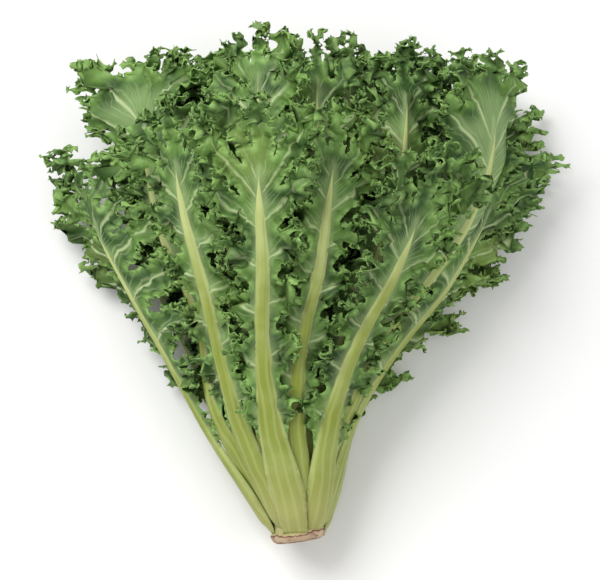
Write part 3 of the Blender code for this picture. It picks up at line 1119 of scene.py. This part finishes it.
# radius and distance from the cut: the cut face, the collar and the core inside the leaves
def stemProfile():
    rings = cutStem["rings"]
    profile = [(cutStem["radius"] * k / rings, 0.0) for k in range(1, rings + 1)]
    profile += cutStem["collar"]
    rings = cutStem["coreRings"]
    for k in range(rings):
        distance = mix(cutStem["knob"], cutStem["tip"], k / (rings - 1))
        rank = (distance - spiral["firstBase"]) / spiral["baseStep"]
        depth = max(1 - spiral["baseDepthStep"] * max(rank, 0.0), 0.0)
        _, rise, drop, _, _ = section(np.array(distance))
        radius = depth * min(rise, drop) - cutStem["gap"]
        profile.append((max(radius, cutStem["leastRadius"]), distance))
    return profile


def makeStem(material):
    rng = np.random.default_rng(cutStem["seed"])
    around = cutStem["around"]
    turns = np.linspace(0, math.tau, around, endpoint=False)
    profile = stemProfile()
    wobble = sum(np.cos(n * turns + rng.uniform(0, math.tau)) / n for n in cutStem["wobbles"])
    wobble = wobble + rng.uniform(-cutStem["fineWobble"], cutStem["fineWobble"], around)
    points, rims, fromCut = [(0.0, 0.0, 0.0)], [0.0], [0.0]
    for radius, distance in profile:
        cutFace = distance < 0.001
        edge = band(radius, cutStem["radius"], cutStem["raggedWidth"]) * (distance < 0.004)
        collar = smooth(distance / 0.005) * (distance < cutStem["knob"])
        grain = rng.uniform(-1, 1, around) * cutStem["grain"] * cutFace
        swell = radius - cutStem["raggedEdge"] * np.abs(wobble) * edge
        away = distance + np.abs(grain) + cutStem["edgeStep"] * edge * (1 + wobble)
        away = away + cutStem["collarWave"] * collar * wobble
        points += list(zip(swell * np.cos(turns), swell * np.sin(turns), -away))
        (brown, *where), (cutBrown, *cutWhere) = cutStem["collarBand"], cutStem["cutBand"]
        rim = brown * band(distance, *where) + cutBrown * band(radius, *cutWhere) * cutFace
        rims += [rim] * around
        fromCut += [distance] * around
    points.append((0.0, 0.0, -(cutStem["tip"] + cutStem["dome"])))
    rims.append(0.0)
    fromCut.append(cutStem["tip"])
    nextOne = [(k + 1) % around for k in range(around)]
    faces = [(0, 1 + k, 1 + nextOne[k]) for k in range(around)]
    for ring in range(len(profile) - 1):
        low, high = 1 + ring * around, 1 + (ring + 1) * around
        faces += [(low + k, high + k, high + nextOne[k], low + nextOne[k]) for k in range(around)]
    last = 1 + (len(profile) - 1) * around
    faces += [(last + k, len(points) - 1, last + nextOne[k]) for k in range(around)]
    # along the middle of the head
    zero = np.array(0.0)
    foot, top = (Vector(headPoint(np.array(d), zero, zero)) for d in (0.0, cutStem["tip"]))
    turn = np.array((foot - top).to_track_quat("Z", "Y").to_matrix())
    placed = atRest(np.array(points) @ turn.T + np.array(foot))
    mesh = bpy.data.meshes.new("stem")
    mesh.from_pydata(placed.tolist(), [], faces)
    mesh.materials.append(material)
    mesh.shade_smooth()
    for name, values in (("rimShare", rims), ("fromCut", fromCut)):
        layer = mesh.attributes.new(name, "FLOAT", "POINT")
        layer.data.foreach_set("value", np.array(values, np.float32))
    piece = bpy.data.objects.new("escarole_stem", mesh)
    bpy.context.scene.collection.objects.link(piece)
    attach(piece, "root")
    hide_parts("stem")


makeStem(stemMaterial())
print("stem made")


# floor, light and camera

studio = {
    "floorSize": 6.0,
    "floorColour": (0.86, 0.86, 0.85),
    "floorShade": 0.985,
    "floorRoughness": 0.9,
    "worldStrength": 0.62,
    "keyStrength": 31.0,
    "keySize": 1.1,
    "keyPlace": (-0.9, 0.75, 1.6),
    "fillStrength": 7.0,
    "fillPlace": (1.2, -0.5, 1.3),
    "lookAt": (0.0, 0.001, 0.060),
    "elevation": 80.0,
    "cameraAway": 1.5,
    "viewWidth": 0.392,  # metres across the picture at the point looked at
}


def makeFloor():
    size = studio["floorSize"] / 2
    mesh = bpy.data.meshes.new("floor")
    corners = [(-size, -size, 0), (size, -size, 0), (size, size, 0), (-size, size, 0)]
    mesh.from_pydata(corners, [], [(0, 1, 2, 3)])
    material, shader, flow = newMaterial("pale_floor")
    place = flow.node("ShaderNodeTexCoord", output="Object")
    pale = studio["floorColour"]
    darker = tuple(studio["floorShade"] * c for c in pale)
    colour = place.noise(3.0, 2.0).between(pale, darker)
    feed(flow, shader, **{"Base Color": colour})
    shader.inputs["Roughness"].default_value = studio["floorRoughness"]
    mesh.materials.append(material)
    floor = bpy.data.objects.new("floor", mesh)
    bpy.context.scene.collection.objects.link(floor)


def makeLight(name, place, strength, size):
    light = bpy.data.lights.new(name, "AREA")
    light.energy, light.size = strength, size
    lamp = bpy.data.objects.new(name, light)
    lamp.location = place
    back = Vector(place) - Vector(studio["lookAt"])
    lamp.rotation_euler = back.to_track_quat("Z", "Y").to_euler()
    bpy.context.scene.collection.objects.link(lamp)


def makeCamera():
    lens = bpy.data.cameras.new("camera")
    lens.lens = lens.sensor_width * studio["cameraAway"] / studio["viewWidth"]
    camera = bpy.data.objects.new("camera", lens)
    tilt = math.radians(studio["elevation"])
    back = Vector((0, -math.cos(tilt), math.sin(tilt)))
    camera.location = Vector(studio["lookAt"]) + back * studio["cameraAway"]
    camera.rotation_euler = back.to_track_quat("Z", "Y").to_euler()
    bpy.context.scene.collection.objects.link(camera)
    bpy.context.scene.camera = camera


makeFloor()
makeLight("key", studio["keyPlace"], studio["keyStrength"], studio["keySize"])
makeLight("fill", studio["fillPlace"], studio["fillStrength"], studio["keySize"])
world = bpy.data.worlds.new("studio")
bpy.context.scene.world = world
world.use_nodes = True
sky = world.node_tree.nodes["Background"]
sky.inputs["Color"].default_value = (1, 1, 1, 1)
sky.inputs["Strength"].default_value = studio["worldStrength"]
makeCamera()
bpy.context.scene.view_settings.view_transform = "Standard"
print("studio made")
